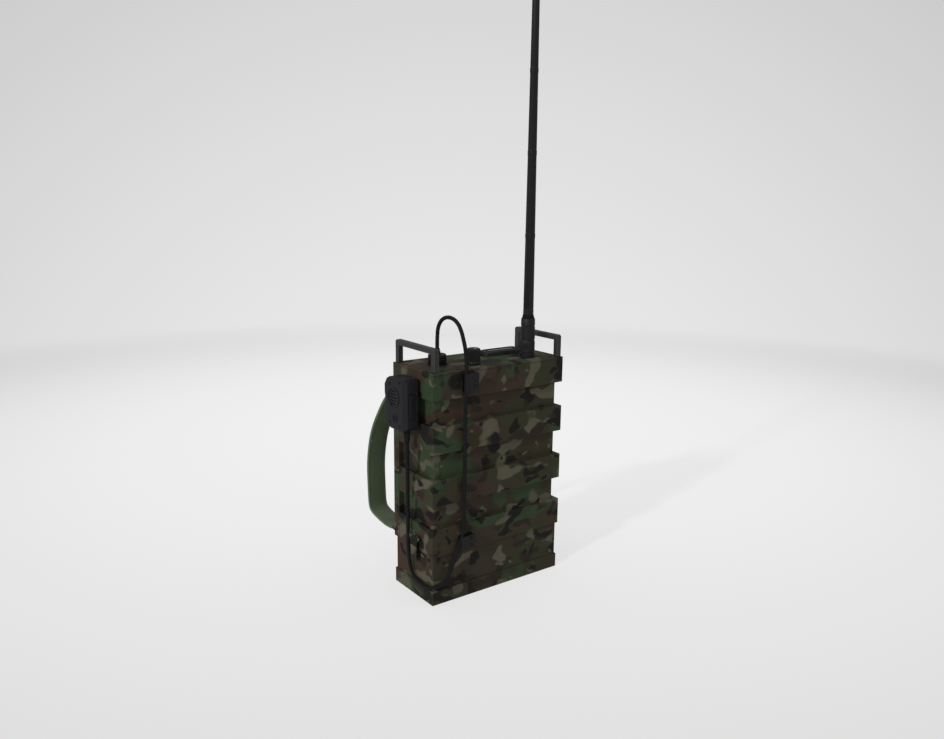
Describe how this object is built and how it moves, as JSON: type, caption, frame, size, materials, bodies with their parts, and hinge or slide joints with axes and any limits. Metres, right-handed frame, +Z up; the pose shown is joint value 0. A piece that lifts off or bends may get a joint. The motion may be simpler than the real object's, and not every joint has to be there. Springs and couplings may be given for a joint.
{
  "type": "toy pack radio",
  "caption": "Toy pack radio: banded camouflage case with guards, flexing whip antenna, volume knob, corded push-to-talk handset on a hanger, battery latches and shoulder straps.",
  "frame": {"origin": "centre of the flat underside of the base cover", "axes": "+Z up along the whip antenna, -Y towards the front face, +X towards the antenna side, handset on the -X side"},
  "size_m": [0.2384, 0.1823, 0.765],
  "materials": {
    "camo_plastic": "moulded plastic with a printed woodland pattern, matt",
    "base_plastic": "moulded plastic with a printed woodland pattern, matt",
    "webbing": "woven nylon webbing",
    "dark_plastic": "fine moulded texture",
    "black_plastic": "moulded, satin",
    "window_plastic": "clear smoked window",
    "rubber": "matt",
    "painted_metal": "dark grey paint, worn at the edges",
    "steel": "zinc plated",
    "brass": "satin",
    "circuit_board": "glass fibre laminate, satin",
    "cell_jacket": "printed steel jacket"
  },
  "bodies": {
    "case": {"front_shell": "camo_plastic", "back_shell": "camo_plastic", "top_panel": "camo_plastic", "battery_box": "camo_plastic", "base_cover": "base_plastic", "radio_board": "circuit_board", "audio_socket": "black_plastic", "audio_plug": "black_plastic", "volume_pot": "steel", "display_housing": "dark_plastic", "display_window": "window_plastic", "antenna_base": "dark_plastic", "handset_hanger": "painted_metal", "handset_cord": "rubber", "plug_strain_relief": "rubber", "upper_cord_clip": "black_plastic", "lower_cord_clip": "black_plastic", "back_screw_1": "steel", "battery_cell_1": "cell_jacket", "back_screw_2": "steel", "battery_cell_2": "cell_jacket", "back_screw_3": "steel", "battery_cell_3": "cell_jacket", "back_screw_4": "steel", "battery_cell_4": "cell_jacket", "left_battery_contact": "steel", "left_latch_mount": "camo_plastic", "left_latch_pin": "steel", "left_guard": "painted_metal", "left_shoulder_strap": "webbing", "left_upper_strap_mount": "painted_metal", "left_lower_strap_mount": "painted_metal", "right_battery_contact": "steel", "right_latch_mount": "camo_plastic", "right_latch_pin": "steel", "right_guard": "painted_metal", "right_shoulder_strap": "webbing", "right_upper_strap_mount": "painted_metal", "right_lower_strap_mount": "painted_metal"},
    "volume": {"volume_knob": "black_plastic"},
    "antenna": {"antenna_whip": "dark_plastic", "antenna_tip": "rubber"},
    "left_latch": {"left_latch_lever": "camo_plastic"},
    "right_latch": {"right_latch_lever": "camo_plastic"},
    "handset": {"handset_outer_shell": "dark_plastic", "handset_inner_shell": "dark_plastic", "ptt_switch": "black_plastic", "handset_board": "circuit_board", "handset_speaker": "steel", "handset_microphone": "brass", "handset_stud": "steel", "handset_strain_relief": "rubber"},
    "ptt": {"ptt_button": "rubber"}
  },
  "joints": [
    {"name": "volume_turn", "type": "hinge", "parent": "case", "child": "volume", "pos_m": [-0.0273, -0.023, 0.31], "axis": [0, 0, -1], "range_deg": [0, 300]},
    {"name": "antenna_flex", "type": "hinge", "parent": "case", "child": "antenna", "pos_m": [0.061, -0.023, 0.345], "axis": [1, 0, 0], "range_deg": [-12, 12], "stiffness_Nm_per_rad": 1.5},
    {"name": "left_latch_open", "type": "hinge", "parent": "case", "child": "left_latch", "pos_m": [-0.1074, -0.0095, 0.082], "axis": [0, 1, 0], "range_deg": [0, 110]},
    {"name": "right_latch_open", "type": "hinge", "parent": "case", "child": "right_latch", "pos_m": [0.1074, -0.0095, 0.082], "axis": [0, -1, 0], "range_deg": [0, 110]},
    {"name": "handset_lift", "type": "slide", "parent": "case", "child": "handset", "axis": [0, 0, 1], "range_m": [0, 0.018]},
    {"name": "ptt_press", "type": "slide", "parent": "handset", "child": "ptt", "axis": [0, 1, 0], "range_m": [0, 0.002], "stiffness_N_per_m": 400}
  ]
}
